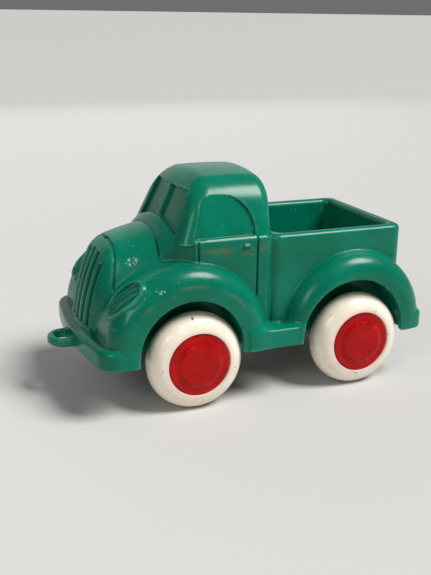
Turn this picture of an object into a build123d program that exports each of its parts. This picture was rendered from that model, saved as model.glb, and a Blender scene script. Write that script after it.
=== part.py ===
from build123d import *
import os
from math import cos, pi, radians, sin

# Toy pickup truck with a wind-up (pull-back) motor on its rear axle, in millimetres.
# +X is forward, +Y is the truck's left and +Z is up. The origin lies on the ground,
# under the middle of the whole truck.

# ---- Driving dimensions ------------------------------------------------------------
WHEELBASE = 70.0
FRONT_AXLE_X = 25.9
REAR_AXLE_X = FRONT_AXLE_X - WHEELBASE
TYRE_RADIUS = 19.1
AXLE_Z = TYRE_RADIUS
TYRE_WIDTH = 13.4
TYRE_MIDDLE_Y = 30.9
HUB_RADIUS = 12.3
HUB_FACE_Y = 38.5
AXLE_RADIUS = 1.5
AXLE_END_Y = 36.0
HUB_SEAT_Y = 36.5
HUB_CORE_RADIUS = 6.0
HUB_INNER_Y = 24.2
RUNNING_GAP = 0.05

BODY_BOTTOM_Z = 21.5
BODY_HALF_WIDTH = 29.0
FENDER_HALF_WIDTH = 37.5
BELT_Z = 64.6
WALL = 2.8
TUNNEL_HALF_WIDTH = 20.2
WELL_INNER_Y = 23.0

FRONT_ARCH = (28.3, 23.6, 20.8)
REAR_ARCH = (-40.6, 22.8, 22.7)
FRONT_CREST = (28.3, 23.6, 33.2)
REAR_CREST = (-43.5, 24.6, 30.9)
LIP_DEPTH = 2.7
TYRE_CLEARANCE = 1.9
FENDER_ROUNDING = 7.0
PILLAR_ROUNDING = 4.0

CAB_REAR_X = -8.3
COWL_FRONT_X = 35.8
COWL_REAR_X = 30.8
SCREEN_SLOPE = 0.34
ROOF_Z = 88.0
BED_REAR_X = -65.9
BED_FRONT_X = -6.5
BED_WALL = 4.7
BED_HALF_WIDTH = 29.2
BED_RIM_Z = 64.5
BED_FLOOR_Z = 47.5
CEILING_Z = 44.8
BUMPER_TOP_Z = 28.4
LOOP_TIP_X = 75.5

DOOR_FRONT_X = 23.6
DOOR_REAR_X = -0.8
WINDOW_DEPTH = 1.5
SLOT_PITCH = 6.0
SLOT_WIDTH = 2.9
SLOT_DEPTH = 1.2
LIP_Z = 30.4
HEADLIGHT_MIDDLE = (52.3, 28.6, 45.2)
HEADLIGHT_NORMAL = (0.78, 0.12, 0.61)
HEADLIGHT_DOWN = (0.6, -0.38, -0.71)

PLATE_Z = 22.4
PLATE_THICKNESS = 2.4
PLATE_TOP_Z = PLATE_Z + PLATE_THICKNESS
POSTS = [(14.0, 17.2), (-57.0, 17.2)]
SCREW_RADIUS = 1.2
SCREW_HEAD_RADIUS = 2.6
COUNTERBORE_Z = PLATE_Z + 0.6

MOTOR_REAR_X = -51.6
MOTOR_FRONT_X = -11.4
MODULE = 0.6
PINION_TEETH = 10
CLUTCH_TEETH = 30
SPRING_TEETH = 32
PINION_Y = -4.4
SPRING_GEAR_Y = -0.2
DRUM_END_Y = 7.0
CASING_HALF_WIDTH = 9.0
CASING_WALL = 1.4
EAR_SCREWS_X = [-54.6, -8.4]
EAR_SCREW_Y = 5.0
EAR_TOP_Z = 31.0
CASING_SCREWS = [(-49.0, 30.5), (-13.6, 37.2), (-38.5, 15.8)]
CASING_SCREW_RADIUS = 0.9
PIN_RADIUS = 1.0
ARBOR_RADIUS = 1.6
DRUM_INNER_RADIUS = 8.8
DRUM_OUTER_RADIUS = 9.5

AXLE_TO_CLUTCH = MODULE * (PINION_TEETH + CLUTCH_TEETH) / 2
CLUTCH_TO_SPRING = MODULE * (PINION_TEETH + SPRING_TEETH) / 2
CLUTCH_ANGLE = radians(50)
SPRING_ANGLE = radians(-8)
CLUTCH_X = REAR_AXLE_X + AXLE_TO_CLUTCH * cos(CLUTCH_ANGLE)
CLUTCH_Z = AXLE_Z + AXLE_TO_CLUTCH * sin(CLUTCH_ANGLE)
SPRING_X = CLUTCH_X + CLUTCH_TO_SPRING * cos(SPRING_ANGLE)
SPRING_Z = CLUTCH_Z + CLUTCH_TO_SPRING * sin(SPRING_ANGLE)

os.makedirs("parts", exist_ok=True)


# ---- Shape helpers -----------------------------------------------------------------
def block(x_from, x_to, y_from, y_to, z_from, z_to):
    """A box between two corners."""
    size = (x_to - x_from, y_to - y_from, z_to - z_from)
    middle = ((x_from + x_to) / 2, (y_from + y_to) / 2, (z_from + z_to) / 2)
    return Pos(*middle) * Box(*size)


def side_slab(outline, y_from, y_to):
    """An outline in X and Z made solid between two values of Y."""
    face = Plane.XZ * make_face(outline)
    return Pos(0, y_to, 0) * extrude(face, y_to - y_from)


def front_slab(outline, x_from, x_to):
    """An outline in Y and Z made solid between two values of X."""
    face = Plane.YZ * make_face(outline)
    return Pos(x_from, 0, 0) * extrude(face, x_to - x_from)


def plan_slab(outline, z_from, z_to):
    """An outline in X and Y made solid between two values of Z."""
    return Pos(0, 0, z_from) * extrude(make_face(outline), z_to - z_from)


def cross_bar(x, z, radius, y_from, y_to):
    """A round bar lying along Y."""
    return Pos(x, (y_from + y_to) / 2, z) * Rot(90, 0, 0) * Cylinder(radius, y_to - y_from)


def post(x, y, radius, z_from, z_to):
    """A round upright bar."""
    return Pos(x, y, (z_from + z_to) / 2) * Cylinder(radius, z_to - z_from)


def both_sides(solid):
    """A solid and its mirror image across the truck."""
    return solid + mirror(solid, about=Plane.XZ)


# ---- Body shell --------------------------------------------------------------------
def hood_section(half_width, top, foot=BODY_BOTTOM_Z):
    """The hood's cross-section: sides that lean in more towards the top, and a crowned lid."""
    shoulder_y = half_width - 0.0161 * (top - 45) ** 2
    shoulder_z = top - shoulder_y**2 / 73
    waist = half_width - 0.0161 * ((top - 45) / 2) ** 2
    walls = []
    for side in (-1, 1):
        walls.append(Line((side * half_width, foot), (side * half_width, 40)))
        middle = (side * waist, 40 + (top - 45) / 2)
        walls.append(ThreePointArc((side * half_width, 40), middle, (side * shoulder_y, shoulder_z)))
    lid = ThreePointArc((-shoulder_y, shoulder_z), (0, top), (shoulder_y, shoulder_z))
    return make_face([*walls, lid, Line((-half_width, foot), (half_width, foot))])


def hood(inset=0.0):
    """The hood and grille nose: it narrows and falls forward, and its front leans back."""
    sections = []
    for x in (28.0, 46.0, 66.0):
        ahead = x - 36
        top = 66.05 - 0.205 * ahead - 0.0035 * ahead**2
        sections.append(Pos(x, 0, 0) * (Plane.YZ * hood_section(25.8 - 0.414 * ahead - inset, top - inset)))
    body = loft(sections)
    side = [(20, 10), (20, 71.5), (54.3, 62.2), (58.9, 50), (62.5, 36), (63.2, 10)]
    side = [(x - inset if x > 20 else x, z - inset if z > 60 else z) for x, z in side]
    plan = [(20, -40), (61.6 - inset, -18), (63.2 - inset, 0), (61.6 - inset, 18), (20, 40)]
    side_view = FilletPolyline(*side, radius=[0, 0, 8.5, 60, 50, 0], close=True)
    plan_view = FilletPolyline(*plan, radius=[0, 6, 90, 6, 0], close=True)
    return body & side_slab(side_view, -45, 45) & plan_slab(plan_view, 5, 80)


def cowl():
    """The collar that flares from the hood's section back to the doors and the windscreen."""
    front_y, rear_y = 21.7, BODY_HALF_WIDTH
    front_top = [(-front_y, 50), (-20.6, 57.8), (-14.6, 63.6), (0, 66.5), (14.6, 63.6), (20.6, 57.8), (front_y, 50)]
    rear_top = [(-rear_y, 60), (-28.0, 64.3), (-21.4, 65.4), (-8.5, 68.5), (0, 69.5)]
    rear_top += [(-y, z) for y, z in reversed(rear_top[:-1])]
    faces = []
    for x, half, top in ((COWL_REAR_X, rear_y, rear_top), (COWL_FRONT_X, front_y, front_top)):
        foot = BODY_BOTTOM_Z
        walls = Polyline(top[-1], (half, foot), (-half, foot), top[0])
        faces.append(Pos(x, 0, 0) * (Plane.YZ * make_face([*walls.edges(), Spline(*top)])))
    return loft(faces) + extrude(faces[0], 11, dir=(-1, 0, 0))


def cab_lower():
    """The cab below its window line, with a softly rounded rear edge."""
    half = BODY_HALF_WIDTH
    plan = [(22, -half), (CAB_REAR_X, -half), (CAB_REAR_X, half), (22, half)]
    slab = plan_slab(FilletPolyline(*plan, radius=[0, 4, 4, 0], close=True), BODY_BOTTOM_Z, BELT_Z)
    return fillet(slab.faces().sort_by(Axis.Z)[-1].edges().filter_by(lambda edge: edge.center().X < 21), 0.9)


def greenhouse(inset=0.0):
    """The cab above its window line: a bowed, sloping screen, leaning sides and a crowned roof."""
    base = 62.2
    top = ROOF_Z - inset
    side = [(36, base), (24.6, top + 0.4), (CAB_REAR_X + 0.5 + inset, top - 0.6), (CAB_REAR_X + 0.3 + inset, base)]
    foot = 28.9 - inset
    eave = 22.2 - inset
    front = [(-foot, base), (-eave, top - 2.5), (0, top + 0.4), (eave, top - 2.5), (foot, base)]
    front_view = FilletPolyline(*front, radius=[0, 7.5, 80.0, 7.5, 0], close=True)
    bow = [(32.8 - inset - 0.006 * y**2, y) for y in (-32, 0, 32)]
    screen_plan = [ThreePointArc(*bow), *Polyline(bow[2], (-30, 32), (-30, -32), bow[0]).edges()]
    screen = Pos(0, 0, base) * extrude(make_face(screen_plan), 30, dir=(-SCREEN_SLOPE, 0, 1))
    cab = side_slab(Polyline(*side, close=True), -32, 32) & front_slab(front_view, -20, 40) & screen
    corners = cab.edges().filter_by(lambda edge: not 2 < edge.center().X < 19 and edge.center().Z > base + 1)
    return fillet(corners, PILLAR_ROUNDING)


def bed_hollow():
    """The load space, with soft corners and a soft floor edge."""
    half = BED_HALF_WIDTH - BED_WALL
    rear, front = BED_REAR_X + BED_WALL, BED_FRONT_X - BED_WALL
    hollow = block(rear, front, -half, half, BED_FLOOR_Z, BED_RIM_Z + 5)
    hollow = fillet(hollow.edges().filter_by(Axis.Z), 3.0)
    return fillet(hollow.faces().sort_by(Axis.Z)[0].edges(), 2.0)


def bed():
    """The load bed: an open box whose rim is rounded outside and inside."""
    slab = block(BED_REAR_X, BED_FRONT_X, -BED_HALF_WIDTH, BED_HALF_WIDTH, BODY_BOTTOM_Z, BED_RIM_Z)
    slab = fillet(slab.edges().filter_by(Axis.Z), 4.0) - bed_hollow()
    slab = fillet(slab.faces().sort_by(Axis.Z)[-1].edges(), BED_WALL / 2 - 0.1)
    rear, front = BED_REAR_X + 4, BED_FRONT_X + 1
    return slab - block(rear, front, -TUNNEL_HALF_WIDTH, TUNNEL_HALF_WIDTH, 10, CEILING_Z)


def fender(outline, inner_y, proud=0.0):
    """One left fender: a slab whose outer edge is rounded over into a fat, soft arch."""
    slab = side_slab(outline, inner_y, FENDER_HALF_WIDTH + proud)
    outer = slab.faces().sort_by(Axis.Y)[-1]
    crest = outer.edges().filter_by(lambda edge: edge.center().Z > BODY_BOTTOM_Z + 0.5)
    return fillet(crest, FENDER_ROUNDING)


def front_fender(proud=0.0):
    """The front fender follows its crest circle, then slopes down to the headlight and nose."""
    x, z, radius = FRONT_CREST
    radius += proud
    foot = (x - radius, BODY_BOTTOM_Z)
    spring_line = (x - radius, z)
    crown = (x, z + radius)
    slope = (x + radius * cos(pi / 4), z + radius * sin(pi / 4))
    toe_x = 60.2 + proud
    toe_z = slope[1] - (toe_x - slope[0])
    toe = FilletPolyline(slope, (toe_x, toe_z), (toe_x, BODY_BOTTOM_Z), radius=9.0)
    arc = ThreePointArc(spring_line, crown, slope)
    outline = [Line(foot, spring_line), arc, *toe.edges(), Line((toe_x, BODY_BOTTOM_Z), foot)]
    return fender(outline, 18, proud)


def rear_fender():
    """The rear fender: a half circle on short straight feet."""
    x, z, radius = REAR_CREST
    ahead, behind = x + radius, x - radius
    arc = ThreePointArc((behind, z), (x, z + radius), (ahead, z))
    feet = Polyline((ahead, z), (ahead, BODY_BOTTOM_Z), (behind, BODY_BOTTOM_Z), (behind, z))
    slab = fender([arc, *feet.edges()], 19)
    inner = slab.faces().sort_by(Axis.Y)[0].edges()
    return fillet(inner.filter_by(lambda edge: edge.center().Z > BODY_BOTTOM_Z + 0.5), 6.0)


def running_board():
    """The step between the fenders on the left side."""
    step = block(-16, 2, 26, FENDER_HALF_WIDTH, BODY_BOTTOM_Z, 29.0)
    return fillet(step.edges().filter_by(Axis.X).sort_by(Axis.Z)[-2:].sort_by(Axis.Y)[-1], 0.8)


def front_bumper():
    """A band that wraps the nose, rounded along its top edge."""
    half = FENDER_HALF_WIDTH
    plan = [(48, -half), (63.0, -half), (67.5, 0), (63.0, half), (48, half)]
    band = plan_slab(FilletPolyline(*plan, radius=[0, 7, 190, 7, 0], close=True), BODY_BOTTOM_Z - 0.9, BUMPER_TOP_Z)
    top = band.faces().sort_by(Axis.Z)[-1]
    return fillet(top.edges().filter_by(lambda edge: edge.center().X > 50), 2.6)


def rear_bumper():
    """A plain band across the tail."""
    half = FENDER_HALF_WIDTH - 0.6
    plan = [(-62, -half), (-75.2, -half), (-75.6, 0), (-75.2, half), (-62, half)]
    band = plan_slab(FilletPolyline(*plan, radius=[0, 6, 190, 6, 0], close=True), BODY_BOTTOM_Z, BUMPER_TOP_Z + 0.6)
    top = band.faces().sort_by(Axis.Z)[-1]
    return fillet(top.edges().filter_by(lambda edge: edge.center().X < -63), 2.2)


def tow_loop():
    """A flat ring in the middle of the front bumper."""
    half = 7.3
    plan = [(60, -half), (LOOP_TIP_X, -half), (LOOP_TIP_X, half), (60, half)]
    ring = plan_slab(FilletPolyline(*plan, radius=[0, 6.9, 6.9, 0], close=True), 20.6, 24.2)
    return fillet(ring.edges().filter_by(lambda edge: abs(edge.center().Z - 22.4) > 1.7), 1.3)


def tow_hole():
    """The opening of the tow ring, ahead of the bumper."""
    half = 4.2
    tip = LOOP_TIP_X - 3.1
    plan = [(66.4, -half), (tip, -half), (tip, half), (66.4, half)]
    return plan_slab(FilletPolyline(*plan, radius=[0.8, 3.9, 3.9, 0.8], close=True), 10, 30)


def wheel_well(arch, axle_x):
    """The room for one left wheel: an arch through the lip, and a wider pocket behind it."""
    x, z, radius = arch
    lip = cross_bar(x, z, radius, WELL_INNER_Y, 45)
    lip += block(x - radius, x + radius, WELL_INNER_Y, 45, 5, z)
    pocket_radius = TYRE_RADIUS + TYRE_CLEARANCE
    pocket_end = FENDER_HALF_WIDTH - LIP_DEPTH
    pocket = cross_bar(axle_x, AXLE_Z, pocket_radius, WELL_INNER_Y, pocket_end)
    notch = cross_bar(axle_x, AXLE_Z, 3.6, 15, WELL_INNER_Y + 1)
    return lip + pocket + notch


def cavities():
    """The hollow underside: tunnel, hood, cab, sills and fender noses."""
    tunnel = block(BED_REAR_X + 4, 30, -TUNNEL_HALF_WIDTH, TUNNEL_HALF_WIDTH, 10, CEILING_Z)
    cab_floor = block(CAB_REAR_X + 3, 30, -TUNNEL_HALF_WIDTH, TUNNEL_HALF_WIDTH, 30, 62)
    cab_room = block(CAB_REAR_X + 3, 26, -26.2, 26.2, 47.5, 62)
    sill = block(-15.4, 4.8, 20, 26.2, 10, CEILING_Z)
    step = block(-15, 4.6, 26, 34.7, 10, 26.2)
    toe = block(51.8, 57.2, 23, 34.2, 10, 38)
    hood_room = hood(WALL) & block(28, 70, -TUNNEL_HALF_WIDTH, TUNNEL_HALF_WIDTH, 10, 80)
    return [tunnel, cab_floor, cab_room, greenhouse(WALL), hood_room, *both_sides_list(sill, step, toe)]


def both_sides_list(*solids):
    """Each solid followed by its mirror image."""
    return [copy for solid in solids for copy in (solid, mirror(solid, about=Plane.XZ))]


def window_recesses():
    """Shallow panes: two in the windscreen and one in each door."""
    door = [(24.9, 65.4), (20.9, 80.2), (0.2, 80.2), (0.0, 65.4)]
    door_view = FilletPolyline(*door, radius=[0.8, 7, 11, 0.8], close=True)
    pane = [(1.8, 62), (1.8, 81.0), (17.2, 81.2), (21.4, 62)]
    pane_view = FilletPolyline(*pane, radius=[0, 0.8, 1.5, 0], close=True)
    screen_prism = front_slab(pane_view, 15, COWL_FRONT_X - 1)
    prisms = both_sides_list(side_slab(door_view, 15, 40), screen_prism)
    core = greenhouse(WINDOW_DEPTH)
    cowl_solid = cowl()
    return [prism - core - cowl_solid for prism in prisms]


def grille_slots():
    """Five upright slots in the nose, the middle ones taller."""
    core = Pos(-SLOT_DEPTH, 0, -0.5) * hood()
    slots = []
    for place, top in ((-2, 54.5), (-1, 57.2), (0, 58.0), (1, 57.2), (2, 54.5)):
        y = place * SLOT_PITCH
        half = SLOT_WIDTH / 2
        outline = [(y - half, LIP_Z), (y - half, top), (y + half, top), (y + half, LIP_Z)]
        slot_view = FilletPolyline(*outline, radius=[0.5, 1.4, 1.4, 0.5], close=True)
        slots.append(front_slab(slot_view, 48, 70) - core)
    return slots


def grille_lip():
    """The bowed sill under the grille."""
    half = 17.2
    front = ThreePointArc((57.6, -half), (64.4, 0), (57.6, half))
    sill = plan_slab([front, Line((57.6, -half), (57.6, half))], BUMPER_TOP_Z - 2, LIP_Z)
    return fillet(sill.faces().sort_by(Axis.Z)[-1].edges().sort_by(Axis.X)[-1], 0.7)


def headlight():
    """The left headlight: an oval rim that stands proud of the fender, with three ribs inside."""
    seat = Plane(origin=HEADLIGHT_MIDDLE, x_dir=HEADLIGHT_DOWN, z_dir=HEADLIGHT_NORMAL).offset(-3)
    rim = extrude(seat * (Ellipse(9.9, 6.7) - Ellipse(8.6, 5.4)), 8)
    light = rim & front_fender(1.0)
    for place, length in ((-2.5, 13.0), (0, 15.4), (2.5, 13.0)):
        bar = extrude(seat * Pos(0, place) * SlotOverall(length, 1.4), 8)
        light += bar & front_fender(0.6)
    return light


def door_seams():
    """Narrow grooves in front of and behind the left door."""
    front_seam = block(DOOR_FRONT_X - 0.3, DOOR_FRONT_X + 0.3, 28.5, 40, 57.5, 66)
    rear_seam = block(DOOR_REAR_X - 0.3, DOOR_REAR_X + 0.3, 28.5, 40, 29, 66)
    return [front_seam, rear_seam]


def door_handle():
    """The small raised grip of the left door."""
    grip = block(1.6, 6.0, 28, 29.9, 60.4, 62.2)
    return fillet(grip.faces().sort_by(Axis.Y)[-1].edges(), 0.7)


def body_shell():
    """The one-piece moulded body: forms joined, then hollowed and pierced."""
    shell = hood() + cowl() + cab_lower() + greenhouse()
    shell += both_sides(front_fender()) + both_sides(rear_fender()) + both_sides(running_board())
    shell += grille_lip() + front_bumper() + rear_bumper() + tow_loop()
    shell += both_sides(door_handle())
    shell -= [*cavities(), *window_recesses(), *grille_slots(), tow_hole()]
    shell -= both_sides_list(*door_seams())
    shell += bed()
    shell -= bed_hollow()
    shell -= both_sides_list(
        block(-15.4, 4.8, 20, 26.2, 10, CEILING_Z),
        wheel_well(FRONT_ARCH, FRONT_AXLE_X),
        wheel_well(REAR_ARCH, REAR_AXLE_X),
    )
    shell += both_sides(headlight())
    for x, y in POSTS:
        pillar = post(x, y, 3.4, PLATE_TOP_Z, CEILING_Z) - post(x, y, SCREW_RADIUS, 0, 36)
        shell += both_sides(pillar)
        shell -= both_sides(post(x, y, SCREW_RADIUS, 0, 36))
    return shell


# ---- Base plate and its screws -------------------------------------------------------
def base_plate():
    """The floor of the truck: it closes the tunnel and carries the front axle and the motor."""
    plate = block(BED_REAR_X + 4.3, 29.6, -19.9, 19.9, PLATE_Z, PLATE_TOP_Z)
    plate += block(29.6, 46.0, -14.5, 14.5, PLATE_Z, PLATE_TOP_Z)
    plate = fillet(plate.edges().filter_by(Axis.Z), 1.5)
    plate -= block(MOTOR_REAR_X - 0.8, MOTOR_FRONT_X + 0.8, -9.9, 9.9, 0, 40)
    for side in (-1, 1):
        lug = side_slab(lug_outline(), 12, 16)
        plate += lug if side > 0 else mirror(lug, about=Plane.XZ)
    plate -= cross_bar(FRONT_AXLE_X, AXLE_Z, AXLE_RADIUS + RUNNING_GAP, -20, 20)
    for x, y in plate_screw_places():
        plate -= post(x, y, SCREW_RADIUS + 0.1, 0, 40)
        plate -= post(x, y, SCREW_HEAD_RADIUS + 0.2, 0, COUNTERBORE_Z)
    return plate


def lug_outline():
    """The side view of a front axle bearing lug, rounded below the axle."""
    half = 3.8
    points = [(-half, PLATE_Z), (-half, AXLE_Z - half), (half, AXLE_Z - half), (half, PLATE_Z)]
    return FilletPolyline(
        *[(FRONT_AXLE_X + x, z) for x, z in points], radius=[0, 3.6, 3.6, 0], close=True
    )


def plate_screw_places():
    """Where the screws go up through the plate: into the body posts, then into the motor ears."""
    body_places = [(x, side * y) for x, y in POSTS for side in (-1, 1)]
    return body_places + motor_ear_places()


def motor_ear_places():
    """The four screws that hold the motor."""
    return [(x, side * EAR_SCREW_Y) for x in EAR_SCREWS_X for side in (-1, 1)]


def upright_screw(x, y, length):
    """A pan-head screw, head down, that drives up through the plate."""
    head = post(x, y, SCREW_HEAD_RADIUS, COUNTERBORE_Z - 1.4, COUNTERBORE_Z)
    head = fillet(head.faces().sort_by(Axis.Z)[0].edges(), 0.6)
    slot = post(x, y, SCREW_HEAD_RADIUS, 0, COUNTERBORE_Z - 0.8)
    arm = Pos(x, y, COUNTERBORE_Z - 1.2) * Box(3.2, 0.7, 0.8)
    cross = (arm + Pos(x, y, COUNTERBORE_Z - 1.2) * Box(0.7, 3.2, 0.8)) & slot
    return head - cross + post(x, y, SCREW_RADIUS, COUNTERBORE_Z, COUNTERBORE_Z + length)


# ---- Wheels and axles ----------------------------------------------------------------
def tyre(axle_x, side):
    """A fat, round tyre: half circle tread, flat inner face and a seat for the hub cap."""
    crown = TYRE_WIDTH / 2
    inner_y, outer_y = TYRE_MIDDLE_Y - crown, TYRE_MIDDLE_Y + crown
    ring_radius = TYRE_RADIUS - crown
    seat_y = HUB_SEAT_Y
    sides = Polyline(
        (inner_y, ring_radius), (inner_y, HUB_CORE_RADIUS), (seat_y, HUB_CORE_RADIUS),
        (seat_y, HUB_RADIUS), (outer_y, HUB_RADIUS), (outer_y, ring_radius),
    )
    tread = ThreePointArc((outer_y, ring_radius), (TYRE_MIDDLE_Y, TYRE_RADIUS), (inner_y, ring_radius))
    section = make_face([*sides.edges(), tread])
    solid = revolve(section, Axis.X)
    return Pos(axle_x, 0, AXLE_Z) * Rot(0, 0, 90 * side) * solid


def hub(axle_x, side):
    """The red cap with its raised middle, and the core that fills the tyre and grips the axle."""
    cap = turned([(HUB_SEAT_Y, HUB_RADIUS, 0), (HUB_SEAT_Y + 1.3, HUB_RADIUS, 0.5)], HUB_SEAT_Y)
    disc = turned([(HUB_SEAT_Y, 8.9, 0), (HUB_FACE_Y, 8.9, 0.8)], HUB_SEAT_Y)
    core = turned([(HUB_INNER_Y, HUB_CORE_RADIUS, 0), (HUB_SEAT_Y, HUB_CORE_RADIUS, 0)], HUB_INNER_Y)
    hole = turned([(0, AXLE_RADIUS, 0), (AXLE_END_Y, AXLE_RADIUS, 0)], 0)
    solid = cap + disc + core - hole
    return Pos(axle_x, 0, AXLE_Z) * Rot(0, 0, 90 * side) * solid


def turned(profile, start):
    """A turned piece about X from (distance, radius, edge rounding) pairs, first face at start."""
    (near, near_radius, _), (far, far_radius, rounding) = profile
    piece = Pos((near + far) / 2, 0, 0) * Rot(0, 90, 0) * Cylinder(far_radius, far - near)
    if rounding:
        piece = fillet(piece.faces().sort_by(Axis.X)[-1].edges(), rounding)
    return piece


def axle(axle_x):
    """A plain steel pin through both wheels."""
    bar = cross_bar(axle_x, AXLE_Z, AXLE_RADIUS, -AXLE_END_Y, AXLE_END_Y)
    ends = bar.edges().filter_by(GeomType.CIRCLE)
    return chamfer(ends, 0.3)


def spacers(axle_x, inner_y):
    """Two short tubes that keep the wheels the right distance from the frame."""
    outer_y = HUB_INNER_Y
    tube = cross_bar(axle_x, AXLE_Z, 2.6, inner_y, outer_y)
    tube -= cross_bar(axle_x, AXLE_Z, AXLE_RADIUS, inner_y - 1, outer_y + 1)
    return both_sides(tube)


# ---- Wind-up motor -------------------------------------------------------------------
def casing_outline(inset):
    """The side view of the motor casing."""
    low, high = 13.3 + inset, 40.2 - inset
    rear, front = MOTOR_REAR_X + inset, MOTOR_FRONT_X - inset
    points = [(rear, low), (front, low), (front, high), (rear + 5.5, high), (rear, high - 7.0)]
    return FilletPolyline(*points, radius=3.0 - inset, close=True)


def casing_half(side):
    """One half of the motor casing, with its screw bosses and mounting ears."""
    wide = CASING_HALF_WIDTH
    half = side_slab(casing_outline(0), 0, wide)
    half -= side_slab(casing_outline(CASING_WALL), -1, wide - CASING_WALL)
    for x, z in CASING_SCREWS:
        half += cross_bar(x, z, 2.0, 0, wide)
    half &= side_slab(casing_outline(0), 0, wide)
    for x in EAR_SCREWS_X:
        wall_x = MOTOR_REAR_X if x < SPRING_X else MOTOR_FRONT_X
        half += block(min(x, wall_x), max(x, wall_x), EAR_SCREW_Y - 2.6, EAR_SCREW_Y + 2.6, PLATE_TOP_Z, 27.0)
        half += post(x, EAR_SCREW_Y, 2.6, PLATE_TOP_Z, EAR_TOP_Z)
        half -= post(x, EAR_SCREW_Y, SCREW_RADIUS, 0, EAR_TOP_Z - 0.8)
    half = half if side > 0 else mirror(half, about=Plane.XZ)
    for x, z in CASING_SCREWS:
        half -= cross_bar(x, z, CASING_SCREW_RADIUS, -20, 20)
    half -= cross_bar(CLUTCH_X, CLUTCH_Z, PIN_RADIUS, -20, 20)
    half -= cross_bar(SPRING_X, SPRING_Z, ARBOR_RADIUS, -20, 20)
    return half - cross_bar(REAR_AXLE_X, AXLE_Z, AXLE_RADIUS + RUNNING_GAP, -20, 20)


def casing_screw(x, z):
    """A long screw across the casing, its head on the left side."""
    wide = CASING_HALF_WIDTH
    head = cross_bar(x, z, 1.8, wide, wide + 1.1)
    slot = Pos(x, wide + 1.1, z) * Box(3.0, 1.0, 0.5)
    return head - slot + cross_bar(x, z, CASING_SCREW_RADIUS, -wide + 1.0, wide)


def gear(teeth, width, turn):
    """A spur gear about its own axis (along Y), with slim straight-sided teeth."""
    pitch_radius = MODULE * teeth / 2
    root, tip = pitch_radius - 1.2 * MODULE, pitch_radius + 0.9 * MODULE
    step = 2 * pi / teeth
    flank = [(root, 0.29), (pitch_radius, 0.2), (tip, 0.08)]
    places = [(radius, -share) for radius, share in flank] + flank[::-1]
    points = []
    for tooth in range(teeth):
        for radius, share in places:
            angle = turn + (tooth + share) * step
            points.append((radius * cos(angle), radius * sin(angle)))
    return side_slab(Polyline(*points, close=True), -width / 2, width / 2)


def axle_pinion():
    """The brass pinion pressed on the rear axle."""
    wheel = gear(PINION_TEETH, 4.4, CLUTCH_ANGLE)
    wheel -= cross_bar(0, 0, AXLE_RADIUS, -5, 5)
    return Pos(REAR_AXLE_X, PINION_Y, AXLE_Z) * wheel


def clutch_gear():
    """The big wheel driven by the axle pinion, in one piece with the pinion that turns the spring."""
    half_step = pi / CLUTCH_TEETH
    wheel = gear(CLUTCH_TEETH, 3.0, CLUTCH_ANGLE + pi + half_step)
    pinion = Pos(0, 3.5, 0) * gear(PINION_TEETH, 4.0, SPRING_ANGLE)
    wheel += pinion
    wheel -= cross_bar(0, 0, PIN_RADIUS + RUNNING_GAP, -5, 10)
    return Pos(CLUTCH_X, PINION_Y - 0.1, CLUTCH_Z) * wheel


def spring_gear():
    """The spring wheel: a toothed rim with the open drum that holds the mainspring."""
    half_step = pi / SPRING_TEETH
    wheel = gear(SPRING_TEETH, 2.8, SPRING_ANGLE + pi + half_step)
    drum = cross_bar(0, 0, DRUM_OUTER_RADIUS, 1.4, DRUM_END_Y - SPRING_GEAR_Y)
    drum -= cross_bar(0, 0, DRUM_INNER_RADIUS, 1.4, 12)
    wheel += drum
    wheel -= cross_bar(0, 0, ARBOR_RADIUS + RUNNING_GAP, -5, 10)
    return Pos(SPRING_X, SPRING_GEAR_Y, SPRING_Z) * wheel


def spring_cover():
    """The disc that closes the drum."""
    disc = cross_bar(SPRING_X, SPRING_Z, DRUM_INNER_RADIUS, DRUM_END_Y - 0.9, DRUM_END_Y)
    return disc - cross_bar(SPRING_X, SPRING_Z, ARBOR_RADIUS + RUNNING_GAP, 0, 12)


def mainspring():
    """The flat coiled spring: half turns whose radius steps out from the arbor to the drum."""
    inner, outer, strip = 2.4, 8.3, 0.4
    half_turns = 14
    step = (outer - inner) / half_turns
    edges = spiral_arcs(inner + strip, step, half_turns) + spiral_arcs(inner, step, half_turns)
    start = Line(edges[0] @ 0, edges[half_turns] @ 0)
    end = Line(edges[half_turns - 1] @ 1, edges[-1] @ 1)
    coil = side_slab([*edges, start, end], SPRING_GEAR_Y + 1.7, DRUM_END_Y - 1.2)
    return Pos(SPRING_X, 0, SPRING_Z) * coil


def spiral_arcs(radius, step, half_turns):
    """A spiral as half circles in the X-Z plane, each one a step larger, joined end to end."""
    arcs = []
    left, sign = -radius, 1
    right = radius
    for turn in range(half_turns):
        far = right + sign * step if turn % 2 == 0 else left - step
        near = left if turn % 2 == 0 else right
        middle, reach = (near + far) / 2, abs(far - near) / 2
        top = reach if turn % 2 == 0 else -reach
        arcs.append(ThreePointArc((near, 0), (middle, top), (far, 0)))
        if turn % 2 == 0:
            right = far
        else:
            left = far
    return arcs


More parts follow.
